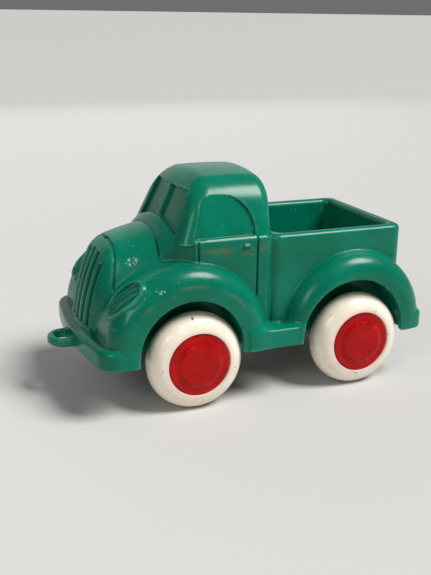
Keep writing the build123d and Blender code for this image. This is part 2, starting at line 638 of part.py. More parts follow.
# ---- Write every piece ---------------------------------------------------------------
def all_parts():
    """Every piece by name."""
    parts = {
        "body_shell": body_shell(),
        "base_plate": base_plate(),
        "base_screws": Compound([upright_screw(x, side * y, 11.0) for x, y in POSTS for side in (-1, 1)]),
        "motor_mount_screws": Compound([upright_screw(x, y, 6.6) for x, y in motor_ear_places()]),
        "front_axle": axle(FRONT_AXLE_X),
        "rear_axle": axle(REAR_AXLE_X),
        "front_spacers": spacers(FRONT_AXLE_X, 16.3),
        "rear_spacers": spacers(REAR_AXLE_X, CASING_HALF_WIDTH + 0.3),
        "motor_casing_left": casing_half(1),
        "motor_casing_right": casing_half(-1),
        "motor_casing_screws": Compound([casing_screw(x, z) for x, z in CASING_SCREWS]),
        "axle_pinion": axle_pinion(),
        "clutch_gear": clutch_gear(),
        "clutch_pin": cross_bar(CLUTCH_X, CLUTCH_Z, PIN_RADIUS, -CASING_HALF_WIDTH, CASING_HALF_WIDTH),
        "spring_gear": spring_gear(),
        "spring_cover": spring_cover(),
        "spring_arbor": cross_bar(SPRING_X, SPRING_Z, ARBOR_RADIUS, -CASING_HALF_WIDTH, CASING_HALF_WIDTH),
        "mainspring": mainspring(),
    }
    for end, axle_x in (("front", FRONT_AXLE_X), ("rear", REAR_AXLE_X)):
        for side_name, side in (("left", 1), ("right", -1)):
            parts[f"{end}_{side_name}_tyre"] = tyre(axle_x, side)
            parts[f"{end}_{side_name}_hub"] = hub(axle_x, side)
    return parts


for name, solid in all_parts().items():
    export_step(solid, f"parts/{name}.step")
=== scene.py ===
import bpy
import numpy as np
from mathutils import Matrix, Vector


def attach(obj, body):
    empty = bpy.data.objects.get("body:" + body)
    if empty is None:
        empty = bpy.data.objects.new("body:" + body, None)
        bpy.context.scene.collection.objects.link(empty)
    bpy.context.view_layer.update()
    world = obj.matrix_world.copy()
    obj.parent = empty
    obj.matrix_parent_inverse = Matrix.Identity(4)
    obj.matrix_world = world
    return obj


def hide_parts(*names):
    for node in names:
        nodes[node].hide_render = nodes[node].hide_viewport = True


# A toy pickup truck with a pull-back motor, in metres: +X is forward, +Y is its left side.
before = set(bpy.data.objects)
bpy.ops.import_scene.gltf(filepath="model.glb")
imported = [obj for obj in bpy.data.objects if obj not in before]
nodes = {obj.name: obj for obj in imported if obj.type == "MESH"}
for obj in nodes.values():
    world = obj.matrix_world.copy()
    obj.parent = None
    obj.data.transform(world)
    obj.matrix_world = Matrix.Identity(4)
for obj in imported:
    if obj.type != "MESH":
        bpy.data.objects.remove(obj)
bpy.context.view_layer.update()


# ---- Body shell -------------------------------------------------------------------------
# The truck's body is one green injection moulding: hood, cab, load bed and fenders run into
# each other with small fillets. It is worked out as one field of distances, in millimetres,
# so that every edge and every inner corner gets the radius that the mould gives it.
MM = 0.001
FRONT_AXLE = np.array([25.9, 0.0, 19.1])
REAR_AXLE = np.array([-44.1, 0.0, 19.1])
BODY_SIDE, FENDER_SIDE, BED_SIDE = 29.0, 37.4, 29.2
BELT_TOP, ROOF_TOP = 64.6, 87.62
BED_TOP, BED_FLOOR = 64.5, 47.5
STEP_TOP, BUMPER_TOP = 29.0, 28.4
BODY_BOTTOM, HOLLOW_TOP = 21.5, 44.8
FENDER_ROLL = 8.3
# The wheel arches and the fenders over them: middle along and up, and radius.
FRONT_MOUTH, REAR_MOUTH = (28.3, 23.6, 20.8), (-40.6, 22.8, 22.7)
FRONT_CREST, REAR_CREST = (28.3, 23.6, 33.2), (-43.5, 24.6, 30.9)
# The oval lamp in the front fender: its middle, the way it faces and the way its oval runs.
LAMP_MIDDLE = (52.6, 28.4, 45.2)
LAMP_OUT = (0.782, 0.120, 0.612)
LAMP_ALONG = (0.60, -0.38, -0.71)


def eased(low, high, value):
    """0 below low, 1 above high, and 3 t^2 - 2 t^3 between them, with t the share of the way."""
    share = np.clip((value - low) / (high - low), 0, 1)
    return share * share * (3 - 2 * share)


def shared(first, second, radius):
    """What two forms share, its edge a quarter circle: min(max(a, b), -r) plus the length of
    the vector (max(a + r, 0), max(b + r, 0))."""
    inner = np.minimum(np.maximum(first, second), -radius)
    return inner + np.hypot(np.maximum(first + radius, 0), np.maximum(second + radius, 0))


def joined(first, second, radius):
    """Two forms as one, the corner between them filled with a quarter circle."""
    return -shared(-first, -second, radius)


def carved(form, tool, radius=0.0):
    """A form less another one, its new edge rounded."""
    return shared(form, -tool, radius)


def between(value, low, high):
    """Distance to a slab from low to high."""
    return np.maximum(low - value, value - high)


def hood_form(x, y, z):
    """The hood: a lid crowned by y^2, sides that lean in by the square of the height above
    40 mm, and a front that leans back by a square too. The nose shell stands a little proud."""
    ahead = x - 36.0
    top = 66.05 - 0.205 * ahead - 0.0035 * ahead**2
    height = np.maximum(z - 40.0, 0)
    lid = (z - top + y**2 / 73.3) / np.sqrt(1.05 + (y / 36.6) ** 2)
    side = (y - 25.8 + 0.414 * ahead + 0.0161 * height**2) / np.sqrt(1.17 + (0.0322 * height) ** 2)
    rise = np.maximum(z - 31.0, -9.0)
    front = x - 63.0 + 0.1106 * rise + 0.0063 * rise**2 + 0.0078 * y**2
    front = front / np.sqrt(1 + (0.1106 + 0.0126 * rise) ** 2)
    hood = shared(shared(lid, side, 3.6), front, 3.9)
    hood = hood - 0.35 * eased(-0.15, 0.15, behind_nose(x, z))
    return np.maximum(hood, 28 - x)


def behind_nose(x, z):
    """Distance ahead of the seam between hood and nose shell, a plane that leans back."""
    return (x - 52.13 - 0.175 * (56 - z)) * 0.985


def nose_details(form, x, y, z):
    """The groove behind the nose shell, the five upright slots of the grille, and the sill
    below them."""
    seam = np.abs(behind_nose(x, z) + 0.34) - 0.34
    form = carved(form, shared(seam, -form - 0.6, 0), 0.2)
    tool = np.full_like(form, 50.0)
    for place, top in ((0, 58.2), (5.2, 57.6), (10.4, 54.2)):
        slot = shared(np.abs(y - place) - 1.35, z - top, 1.3)
        tool = np.minimum(tool, np.maximum(slot, 30.0 - z))
    grooved = carved(form, np.maximum(np.maximum(tool, -form - 1.7), 50 - x), 0.75)
    sill = shared(x - 64.0 + y**2 / 105, z - 30.4, 0.75)
    sill = np.maximum(np.maximum(sill, y - 13.8), 54 - x)
    return joined(grooved, sill, 0.25)


def cowl_form(x, y, z):
    """The collar in front of the windscreen. From the hood's own section it swells back and
    out, quickly at first (a sine), to a rim that falls from the middle to the belt in an S."""
    front = 36.2 + 0.1 * (56 - z)
    rim = 31.3 - 0.0042 * y**2
    share = np.clip((front - x) / (front - rim), 0, 1)
    swell = np.sin(share * np.pi / 2)
    low_lid = 66.65 - y**2 / 73.3
    high_lid = 69.8 - 5.2 * eased(0, 28, y)
    height = np.maximum(z - 40.0, 0)
    low_side = 22.3 - 0.008 * np.maximum(height - 6, 0) ** 2
    lid = (z - low_lid - (high_lid - low_lid) * swell) * 0.93
    spread = np.clip((front - x) / (front - 24.9), 0, 1)
    side = (y - low_side - (28.95 - low_side) * spread) * 0.9
    hoop = shared(lid, side, 3.2 - 2.2 * spread)
    return np.maximum(np.maximum(hoop, x - front), 20 - x)


def cab_form(x, y, z):
    """The cab above its belt: a bowed windscreen, leaning sides and a crowned roof."""
    side = (y - 28.0 + 0.294 * (z - 65.5)) * 0.959
    roof = (z - ROOF_TOP + y**2 / 178 + (x - 7.5) ** 2 / 476) * 0.98
    screen = (x - 30.0 + 0.44 * (z - 69.6) + 0.0035 * y**2) * 0.91
    shell = shared(side, roof, 8.0)
    shell = shared(shell, screen, 3.6 + 2.2 * eased(74, 84, z))
    shell = shared(shell, -x - 8.4, 5.2)
    return np.maximum(shell, 63 - z), side, screen


def cab_with_windows(x, y, z):
    """The cab with its blind panes pressed in: two in the windscreen and one in each door."""
    shell, side, screen = cab_form(x, y, z)
    outer_edge = (y - 20.6 + 0.22 * (z - 65.0)) * 0.976
    pane = shared(outer_edge, z - 81.3 - 0.02 * y, 0.9)
    pane = np.maximum(pane, 1.8 - y)
    shell = carved(shell, np.maximum(pane, -screen - 1.35), 0.25)
    front_edge = ((x - 24.6) * 12.1 + (z - 65.4) * 3.6) / 12.62
    window = shared(front_edge, z - 80.2, 3.6)
    window = shared(window, 0.1 - x, 12.5)
    window = np.maximum(window, 64.9 - z)
    window = np.maximum(window, 20 - y)
    return carved(shell, np.maximum(window, -side - 0.95), 0.3)


def lower_cab(x, y, z):
    """The doors' part of the cab, its belt a soft shoulder; the two seams on each side are cut later, into
    the whole moulding.
    """
    walls = shared(y - BODY_SIDE, z - BELT_TOP, 1.3)
    walls = shared(walls, -8.3 - x, 4.2)
    return np.maximum(walls, x - 25)


def bed_form(x, y, z):
    """The load bed: a box with soft corners, a full round rim and a flat floor."""
    box = shared(y - BED_SIDE, np.maximum(-65.9 - x, x + 6.5), 4.3)
    box = shared(box, z - BED_TOP, 2.2)
    hollow = shared(y - 24.5, np.maximum(-61.2 - x, x + 11.2), 3.2)
    hollow = shared(hollow, BED_FLOOR - z, 2.0)
    return carved(box, hollow, 2.2)


def front_fender(x, y, z):
    """The front fender: a circle that runs into a 45 degree slope in side view, rolled over to
    its flat outer face with one radius and to its upright front with another."""
    mid_x, mid_z, radius = FRONT_CREST
    along, up = x - mid_x, z - mid_z
    circle = np.hypot(along, np.maximum(up, 0)) - radius
    crest = np.where(along > up, (along + up) * 0.7071 - radius, circle)
    roll = shared(crest, y - FENDER_SIDE, FENDER_ROLL)
    return np.maximum(np.where(x > 45, shared(roll, x - 60.2, 7.5), roll), 13 - y)


def rear_fender(x, y, z):
    """The rear fender: a half circle on upright feet, rolled over outside and inside."""
    mid_x, mid_z, radius = REAR_CREST
    along, up = x - mid_x, z - mid_z
    crest = np.hypot(along, np.maximum(up, 0)) - radius
    roll = shared(crest, y - FENDER_SIDE, FENDER_ROLL)
    return shared(roll, 19.2 - y, 6.0)


def running_board(x, y, z):
    """The step between the fenders."""
    board = shared(z - STEP_TOP, y - FENDER_SIDE, 1.0)
    return np.maximum(np.maximum(board, between(x, -18, 4)), 20 - y)


def front_bumper(x, y, z):
    """A band bowed by y^2, round at its ends and along its top, which dies out at the wheel."""
    bow = shared(x - 66.4 + y**2 / 380, y - 37.5, 6.5)
    band = shared(bow, z - BUMPER_TOP, 2.8)
    return np.maximum(band, 47 - x)


def rear_bumper(x, y, z):
    """A plain band across the tail."""
    bow = shared(-75.4 - x + y**2 / 4000, y - 36.9, 6.0)
    return np.maximum(shared(bow, z - 29.0, 2.3), x + 62)


def tow_ring(x, y, z):
    """A flat stadium-shaped ring with soft edges."""
    plan = shared(x - 75.4, y - 7.3, 7.2)
    hole = shared(between(x, 66.4, 72.3), y - 4.2, 2.9)
    ring = shared(plan, np.abs(z - 22.4) - 1.8, 1.3)
    return np.maximum(carved(ring, hole, 1.1), 60 - x)


def headlight(form, x, y, z):
    """A raised oval rim that follows the fender, with three rounded bars along it. Its own axes
    are out of the fender, along the oval (down and inwards) and across it."""
    out, along = np.array(LAMP_OUT), np.array(LAMP_ALONG)
    along = along - out * (along @ out)
    along = along / np.linalg.norm(along)
    across = np.cross(out, along)
    place = (x - LAMP_MIDDLE[0], y - LAMP_MIDDLE[1], z - LAMP_MIDDLE[2])
    level, down, over = (sum(part * axis for part, axis in zip(place, line)) for line in (out, along, across))
    reach = np.hypot(down / 9.0, over / 6.0)
    edge = (reach - 1) * 7.2
    near = np.abs(level) < 6
    lens = np.where(near, carved(form, np.maximum(edge, -form - 0.3), 0.2), form)
    rim = np.where(near, np.hypot(edge, (form - 0.1) * 0.85) - 0.85, 50.0)
    bars = np.full_like(form, 50.0)
    for middle in (-2.5, 0.0, 2.5):
        bar = np.hypot(over - middle, (form + 0.3) * 0.8) - 0.75
        bars = np.minimum(bars, np.maximum(bar, edge + 0.9))
    bars = np.where(near, bars, 50.0)
    return joined(joined(lens, rim, 0.3), bars, 0.3)


def wheel_rooms(x, y, z):
    """The four arches: each cut through the fender's outer wall, a wider pocket for the wheel
    behind it, and a notch for the axle."""
    rooms = np.full_like(x, 50.0)
    for (mid_x, mid_z, radius), axle in ((FRONT_MOUTH, FRONT_AXLE), (REAR_MOUTH, REAR_AXLE)):
        mouth = np.hypot(x - mid_x, np.maximum(z - mid_z, 0)) - radius
        mouth = np.maximum(mouth, 23 - y)
        pocket = np.hypot(x - axle[0], z - axle[2]) - 21.0
        pocket = np.maximum(pocket, between(y, 23, 34.8))
        notch = np.maximum(np.hypot(x - axle[0], z - axle[2]) - 3.6, 15 - y)
        rooms = np.minimum(rooms, np.minimum(np.minimum(mouth, pocket), notch))
    return rooms


def underside(x, y, z):
    """The hollow that the base plate closes, and the pockets under steps and nose."""
    tunnel = np.maximum(y - 20.2, z - HOLLOW_TOP)
    tunnel = shared(tunnel, np.maximum(-61.9 - x, x - 31), 1.5)
    front = np.maximum(np.maximum(y - 15.2 + 0.09 * (x - 40), x - 55.5), z - HOLLOW_TOP)
    front = np.maximum(front, 29 - x)
    sill = np.maximum(between(x, -15.4, 4.8), np.maximum(between(y, 20, 26.2), z - HOLLOW_TOP))
    step = np.maximum(between(x, -15.0, 4.6), np.maximum(between(y, 26, 34.7), z - 26.2))
    toe = np.maximum(between(x, 51.8, 56.6), np.maximum(between(y, 23, 34.2), z - 36))
    return np.minimum(np.minimum(np.minimum(tunnel, front), np.minimum(sill, step)), toe)


def body_form(x, y, z):
    """The whole moulding, for y measured from the middle plane."""
    hood = nose_details(hood_form(x, y, z), x, y, z)
    cab = joined(cab_with_windows(x, y, z), lower_cab(x, y, z), 0.35)
    cab = joined(cab, cowl_form(x, y, z), 0.4)
    form = joined(hood, cab, 0.15)
    for seam_x, low in ((23.5, 40.0), (-0.8, 20.0)):
        groove = np.maximum(np.abs(x - seam_x) - 0.28, between(y, 28.35, 33))
        form = carved(form, np.maximum(groove, between(z, low, 65.5)), 0.25)
    handle = np.hypot(np.maximum(np.abs(x - 3.9) - 0.8, 0), z - 61.3)
    form = joined(form, np.hypot(handle, y - 28.9) - 0.85, 0.3)
    form = joined(form, bed_form(x, y, z), 0.4)
    fenders = joined(headlight(front_fender(x, y, z), x, y, z), running_board(x, y, z), 3.2)
    fenders = joined(fenders, rear_fender(x, y, z), 2.0)
    fenders = np.maximum(fenders, -bed_room(x, y, z))
    form = joined(form, fenders, 0.9)
    form = joined(form, front_bumper(x, y, z), 0.5)
    form = joined(form, rear_bumper(x, y, z), 0.5)
    form = joined(form, tow_ring(x, y, z), 0.6)
    form = floor_cut(form, x, y, z)
    form = carved(form, wheel_rooms(x, y, z), 0.45)
    return carved(form, underside(x, y, z), 0.3)


def bed_room(x, y, z):
    """The space inside the bed, kept clear of the fenders."""
    room = np.maximum(y - 25.5, between(x, -62.5, -10.0))
    return np.maximum(room, 46 - z)


def floor_cut(form, x, y, z):
    """The body's level underside: the front bumper hangs a little lower than the rest."""
    low = BODY_BOTTOM - 0.9 * eased(46.5, 48.5, x)
    return shared(form, low - z, 0.5)


def surface_net(values, lines):
    """A mesh of a field on a grid: one point in each cell that the surface crosses, at the mean
    of the crossings on its edges, and one four-sided face round each crossed edge."""
    shape = np.array(values.shape) - 1
    corners, signs, crossings = [], [], []
    for axis in range(3):
        near = np.take(values, range(shape[axis]), axis)
        far = np.take(values, range(1, shape[axis] + 1), axis)
        at = np.argwhere((near < 0) != (far < 0))
        picked = tuple(at.T)
        share = near[picked] / (near[picked] - far[picked])
        point = np.stack([lines[k][at[:, k]] for k in range(3)], 1)
        point[:, axis] += share * (lines[axis][at[:, axis] + 1] - lines[axis][at[:, axis]])
        side, up = (axis + 1) % 3, (axis + 2) % 3
        cells = []
        for step_side, step_up in ((0, 0), (1, 0), (1, 1), (0, 1)):
            cell = at.copy()
            cell[:, side] -= step_side
            cell[:, up] -= step_up
            cells.append(np.ravel_multi_index(tuple(cell.T), shape))
        corners.append(np.stack(cells, 1))
        signs.append(near[picked] < 0)
        crossings.append(np.repeat(point[:, None], 4, 1))
    corners = np.concatenate(corners)
    signs = np.concatenate(signs)
    crossings = np.concatenate(crossings).reshape(-1, 3)
    cells, faces = np.unique(corners, return_inverse=True)
    faces = faces.reshape(-1, 4)
    count = np.bincount(faces.ravel(), minlength=len(cells))
    points = np.stack([np.bincount(faces.ravel(), crossings[:, k], len(cells)) / count for k in range(3)], 1)
    faces[~signs] = faces[~signs][:, ::-1]
    return points, faces


def mirrored(form):
    """The same field on both sides of the middle plane, for points in rows."""
    return lambda points: form(points[:, 0], np.abs(points[:, 1]), points[:, 2])


def slope_of(form, points, reach):
    """The field's direction of steepest rise, from differences over a short reach."""
    steps = np.eye(3) * reach
    return np.stack([form(points + step) - form(points - step) for step in steps], 1) / (2 * reach)


def settled(form, points, limit):
    """Points moved along the slope until they lie on the surface (three Newton steps)."""
    for _ in range(3):
        slope = slope_of(form, points, 0.04)
        steep = np.maximum((slope**2).sum(1), 0.25)
        move = np.clip(form(points) / steep, -limit, limit)
        points = points - slope * move[:, None]
    return points


def mesh_piece(name, points, *groups):
    """A smooth mesh object from points in metres and arrays of faces by their corners' numbers."""
    mesh = bpy.data.meshes.new(name)
    mesh.vertices.add(len(points))
    mesh.vertices.foreach_set("co", np.ascontiguousarray(points, np.float32).ravel())
    corners = np.concatenate([faces.ravel() for faces in groups])
    sides = np.concatenate([np.full(len(faces), faces.shape[1]) for faces in groups])
    mesh.loops.add(len(corners))
    mesh.loops.foreach_set("vertex_index", corners.astype(np.int32))
    mesh.polygons.add(len(sides))
    mesh.polygons.foreach_set("loop_start", (np.cumsum(sides) - sides).astype(np.int32))
    mesh.polygons.foreach_set("use_smooth", np.ones(len(sides), bool))
    mesh.update(calc_edges=True)
    piece = bpy.data.objects.new(name, mesh)
    bpy.context.scene.collection.objects.link(piece)
    return piece


def thinned(piece, triangles):
    """The same mesh in fewer triangles: edges collapse first where the surface is flat."""
    modifier = piece.modifiers.new("thin", "DECIMATE")
    faces = sum(len(polygon.vertices) - 2 for polygon in piece.data.polygons)
    modifier.ratio = min(1.0, triangles / faces)
    modifier.use_collapse_triangulate = True
    seen = piece.evaluated_get(bpy.context.evaluated_depsgraph_get())
    mesh = bpy.data.meshes.new_from_object(seen)
    piece.modifiers.clear()
    piece.data = mesh
    return piece


def body_mesh(spacing, triangles):
    """The body's surface net, thinned, with its points and its normals taken from the field."""
    low, high = (-77.0, -39.0, 19.0), (77.0, 39.0, 90.0)
    lines = [np.arange(low[k], high[k] + spacing, spacing) + 0.013 for k in range(3)]
    lines[1] = np.concatenate([-lines[1][lines[1] > 0][::-1], lines[1][lines[1] > 0]])
    half = lines[1][lines[1] > 0]
    x, y, z = (part.ravel() for part in np.meshgrid(lines[0], half, lines[2], indexing="ij"))
    values = body_form(x, y, z).reshape(len(lines[0]), len(half), len(lines[2]))
    values = np.concatenate([values[:, ::-1], values], 1)
    points, faces = surface_net(values, lines)
    form = mirrored(body_form)
    points = settled(form, points, spacing)
    piece = thinned(mesh_piece("body_moulding", points * MM, faces), triangles)
    mesh = piece.data
    points = np.empty(len(mesh.vertices) * 3, np.float32)
    mesh.vertices.foreach_get("co", points)
    points = settled(form, points.reshape(-1, 3) / MM, spacing / 3)
    mesh.vertices.foreach_set("co", (points * MM).astype(np.float32).ravel())
    normals = slope_of(form, points, 0.12)
    normals /= np.maximum(np.linalg.norm(normals, axis=1), 1e-6)[:, None]
    mesh.normals_split_custom_set_from_vertices(normals.tolist())
    mesh.update()
    return piece


def relief(form, points):
    """How far edges stand out and corners lie back: the field's mean 1.3 mm away along six
    directions, less its value here, positive on an edge and negative in a corner."""
    steps = np.concatenate([np.eye(3), -np.eye(3)]) * 1.3
    return sum(form(points + step) for step in steps) / 6 - form(points)


def attribute(piece, name, values):
    """One number per point of a mesh, for its material to read."""
    layer = piece.data.attributes.new(name, "FLOAT", "POINT")
    layer.data.foreach_set("value", np.ascontiguousarray(values, np.float32))


def points_of(piece):
    """A mesh's points in millimetres, in rows."""
    points = np.empty(len(piece.data.vertices) * 3, np.float32)
    piece.data.vertices.foreach_get("co", points)
    return points.reshape(-1, 3) / MM


class Socket:
    """A shader node's output. Sums with numbers and other outputs add their own Math nodes."""

    def __init__(self, finish, output):
        self.finish, self.output = finish, output

    def maths(self, operation, first, second):
        return self.finish.node("ShaderNodeMath", {"operation": operation}, {0: first, 1: second})

    def __add__(self, other):
        return self.maths("ADD", self, other)

    def __sub__(self, other):
        return self.maths("SUBTRACT", self, other)

    def __rsub__(self, other):
        return self.maths("SUBTRACT", other, self)

    def __mul__(self, other):
        return self.maths("MULTIPLY", self, other)

    def __abs__(self):
        return self.maths("ABSOLUTE", self, 0)

    __radd__ = __add__
    __rmul__ = __mul__


class Finish:
    """A material under construction: fixed numbers go on the shader, the rest is linked to it."""

    def __init__(self, name, **fixed):
        self.material = bpy.data.materials.new(name)
        self.material.use_nodes = True
        self.tree = self.material.node_tree
        self.shader = self.tree.nodes["Principled BSDF"]
        self.place = self.node("ShaderNodeTexCoord", {}, {}, "Object")
        for socket, value in fixed.items():
            self.feed(self.shader.inputs[socket.replace("_", " ")], value)

    def feed(self, socket, value):
        """Links a socket to another node's output, or writes a number or a colour on it."""
        if isinstance(value, Socket):
            self.tree.links.new(value.output, socket)
        elif isinstance(value, tuple) and len(value) == 3 and len(socket.default_value) == 4:
            socket.default_value = (*value, 1)
        else:
            socket.default_value = value

    def node(self, kind, settings, sockets, output=0):
        """A new node of a type: its settings first, then its sockets by name or number."""
        node = self.tree.nodes.new(kind)
        for name, value in settings.items():
            setattr(node, name, value)
        for name, value in sockets.items():
            self.feed(node.inputs[name], value)
        return Socket(self, node.outputs[output])

    def share(self, value, low, high):
        """0 below low, 1 above high, smooth between them."""
        sockets = {"Value": value, "From Min": low, "From Max": high}
        return self.node("ShaderNodeMapRange", {"interpolation_type": "SMOOTHSTEP"}, sockets)

    def noise(self, size, detail=3, roughness=0.55, stretch=(1, 1, 1), offset=(0, 0, 0)):
        """Cloudy noise whose blobs are about size metres across, longer where stretch is under 1."""
        at = self.node("ShaderNodeMapping", {}, {"Vector": self.place, "Scale": stretch, "Location": offset})
        sockets = {"Vector": at, "Scale": 1 / size, "Detail": detail, "Roughness": roughness}
        return self.node("ShaderNodeTexNoise", {}, sockets)

    def read(self, name):
        """A number that the mesh carries at each point."""
        return self.node("ShaderNodeAttribute", {"attribute_name": name}, {}, "Fac")

    def mix(self, amount, first, second):
        """Two colours blended by an amount from 0 to 1."""
        return self.node("ShaderNodeMix", {"data_type": "RGBA"}, {0: amount, 6: first, 7: second}, 2)

    def patch(self, middle, reach, soft=0.35):
        """1 inside an oval round a point, given in metres, with a soft edge."""
        scale = tuple(1 / part for part in reach)
        shift = tuple(-place / part for place, part in zip(middle, reach))
        at = self.node("ShaderNodeMapping", {}, {"Vector": self.place, "Scale": scale, "Location": shift})
        away = self.node("ShaderNodeVectorMath", {"operation": "LENGTH"}, {0: at}, "Value")
        return 1 - self.share(away, 1 - soft, 1)

    def bump(self, height, distance):
        """Fine relief: height from 0 to 1, over a distance in metres."""
        relief = self.node("ShaderNodeBump", {}, {"Height": height, "Distance": distance}, "Normal")
        self.feed(self.shader.inputs["Normal"], relief)

    def colour(self, value):
        self.feed(self.shader.inputs["Base Color"], value)

    def roughness(self, value):
        self.feed(self.shader.inputs["Roughness"], value)


def worn_green_moulding():
    """Glossy green moulded plastic with its dye a little cloudy, edges worn pale and lightened with a
    painted highlight, painted shade darkening the corners, brown stains under the belt, hairline
    scratches, white specks, and white nicks with painted glints on the hood's shoulder and fender top."""
    green = Finish("green_moulded_plastic", IOR=1.5, Specular_IOR_Level=0.22)
    cloud = green.noise(0.022, 3)
    fine = green.noise(0.0016, 4, 0.65)
    base = green.mix(green.share(cloud, 0.35, 0.68), (0.0, 0.134, 0.076), (0.0, 0.178, 0.106))
    # Convex edges lightened: partly real wear, partly a painted highlight along every edge.
    worn_edge_and_highlight = green.share(green.read("relief") + (fine - 0.5) * 0.5, 0.16, 0.52)
    base = green.mix(worn_edge_and_highlight * 0.34, base, (0.10, 0.42, 0.28))
    # Painted shade: corners and creases are darkened towards a near-black green, standing in for the shade
    # that falls in them.
    painted_corner_shade = green.share(0.0 - green.read("relief") + (fine - 0.5) * 0.4, 0.12, 0.5)
    base = green.mix(painted_corner_shade * 0.55, base, (0.006, 0.030, 0.015))
    streaks = green.share(green.noise(0.0022, 3, 0.6, (0.22, 1, 1.4)), 0.46, 0.62)
    under_belt = green.patch((0.0155, 0.029, 0.0600), (0.0085, 0.004, 0.0030), 0.6)
    by_handle = green.patch((0.0030, 0.029, 0.0590), (0.0045, 0.004, 0.0022), 0.7)
    pillar = green.patch((-0.0035, 0.029, 0.0600), (0.0024, 0.004, 0.0032), 0.6)
    along_arch = green.read("arch_line") * green.share(green.noise(0.010, 2), 0.44, 0.56)
    stain = streaks * (under_belt + by_handle + pillar) + along_arch
    base = green.mix(stain * 0.42, base, (0.16, 0.13, 0.035))
    speck_place = green.share(green.noise(0.014, 2), 0.46, 0.60)
    specks = green.share(green.noise(0.00075, 1, 0.4), 0.755, 0.785) * speck_place
    thread = abs(green.noise(0.013, 2, 0.5, (1, 1, 2.6), (0.9, 0.3, 0.5)) - 0.5)
    hairs = (1 - green.share(thread, 0.001, 0.003)) * green.share(green.noise(0.004, 2), 0.60, 0.70)
    # White nicks on the hood's shoulder and the front fender's top: partly real nicks, partly painted glints
    # where these curves catch the light.
    on_hood = green.patch((0.0457, 0.0176, 0.0560), (0.0040, 0.0020, 0.0022), 0.5)
    on_fender = green.patch((0.0412, 0.0365, 0.0492), (0.0022, 0.0016, 0.0016), 0.5)
    nicks_and_glints = green.share(green.noise(0.0008, 2), 0.55, 0.61) * (on_hood + on_fender)
    # The marks include the painted glints of the nicks.
    marks = specks + hairs * 0.3 + nicks_and_glints
    base = green.mix(marks * 0.75, base, (0.52, 0.62, 0.50))
    green.colour(base)
    green.roughness(0.24 + (cloud - 0.5) * 0.12 + worn_edge_and_highlight * 0.10 + stain * 0.22 + marks * 0.25 + painted_corner_shade * 0.15)
    green.bump(green.noise(0.0045, 2) + hairs * -0.5 + specks * -0.6, 0.00006)
    return green.material


grid_spacing, most_triangles = ((0.55, 190000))
body = body_mesh(grid_spacing, most_triangles)
body_points = points_of(body)
attribute(body, "relief", relief(mirrored(body_form), body_points))
# A thin brown line of dirt runs along the flat face of the front fender, above the tyre.
dirt_radius, dirt_width = 26.4, 0.45
arch_away = np.hypot(body_points[:, 0] - FRONT_CREST[0], body_points[:, 2] - FRONT_CREST[1]) - dirt_radius
on_fender_face = (np.abs(body_points[:, 1]) > 34) * (body_points[:, 2] > 40)
arch_line = np.exp(-((arch_away / dirt_width) ** 2)) * on_fender_face
attribute(body, "arch_line", arch_line)
body.data.materials.append(worn_green_moulding())
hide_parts("body_shell")
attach(body, "body")


# ---- Wheels ---------------------------------------------------------------------------
# Each wheel is a fat ivory tyre of soft vinyl, pushed over the core of a red hub. The tyre is
# blown into a round mould and shows a thin lip round the hub; the hub is a hard glossy moulding
# whose face is a flat ring with a raised disc, and it is pressed on to the steel axle.
def softened(corners, steps=9):
    """A closed or open profile with its corners rounded: each corner c, with a reach given in
    its third column, becomes the curve (1-t)^2 a + 2t(1-t) c + t^2 b between the points a and
    b that lie that reach before and after it."""
    corners = np.array(corners, float)
    points, reach = corners[:, :2], corners[:, 2:]
    before = np.roll(points, 1, 0) - points
    after = np.roll(points, -1, 0) - points
    before /= np.maximum(np.linalg.norm(before, axis=1, keepdims=True), 1e-9)
    after /= np.maximum(np.linalg.norm(after, axis=1, keepdims=True), 1e-9)
    t = np.linspace(0, 1, steps)[None, :, None]
    start, end = (points + before * reach)[:, None], (points + after * reach)[:, None]
    curve = (1 - t) ** 2 * start + 2 * t * (1 - t) * points[:, None] + t**2 * end
    return curve.reshape(-1, 2)


def merged(profile):
    """A profile without the points that repeat."""
    step = np.linalg.norm(np.diff(profile, axis=0, append=profile[:1]), axis=1)
    return profile[step > 1e-4]


def turned(name, profile, middle, side, closed, count=112):
    """A profile of (distance from the truck's middle, radius) turned round an axle. Where it
    isn't closed on itself, its two ends are on the axis and become single points."""
    profile = merged(profile)
    if not closed:
        ends, profile = profile[[0, -1]], profile[1:-1]
    angle = np.linspace(0, 2 * np.pi, count, endpoint=False)
    away, radius = profile[:, 0][:, None], profile[:, 1][:, None]
    ring = [middle[0] + radius * np.cos(angle), side * away + 0 * angle, middle[2] + radius * np.sin(angle)]
    points = np.stack(ring, 2).reshape(-1, 3)
    rows = len(profile)
    row, step = np.meshgrid(np.arange(rows if closed else rows - 1), np.arange(count), indexing="ij")
    here, next_step = row * count + step, row * count + (step + 1) % count
    above = (row + 1) % rows * count + step
    above_next = (row + 1) % rows * count + (step + 1) % count
    quads = np.stack([here, next_step, above_next, above], 2).reshape(-1, 4)
    groups = [quads if side > 0 else quads[:, ::-1]]
    if not closed:
        tips = np.array([[middle[0], side * end[0], middle[2]] for end in ends])
        around, onward = np.arange(count), (np.arange(count) + 1) % count
        first = np.stack([np.full(count, len(points)), onward, around], 1)
        last = (rows - 1) * count
        final = np.stack([np.full(count, len(points) + 1), last + around, last + onward], 1)
        fans = np.concatenate([first, final])
        groups.append(fans if side > 0 else fans[:, ::-1])
        points = np.concatenate([points, tips])
    piece = mesh_piece(name, points * MM, *groups)
    attribute(piece, "radius", np.hypot(points[:, 0] - middle[0], points[:, 2] - middle[2]))
    return piece


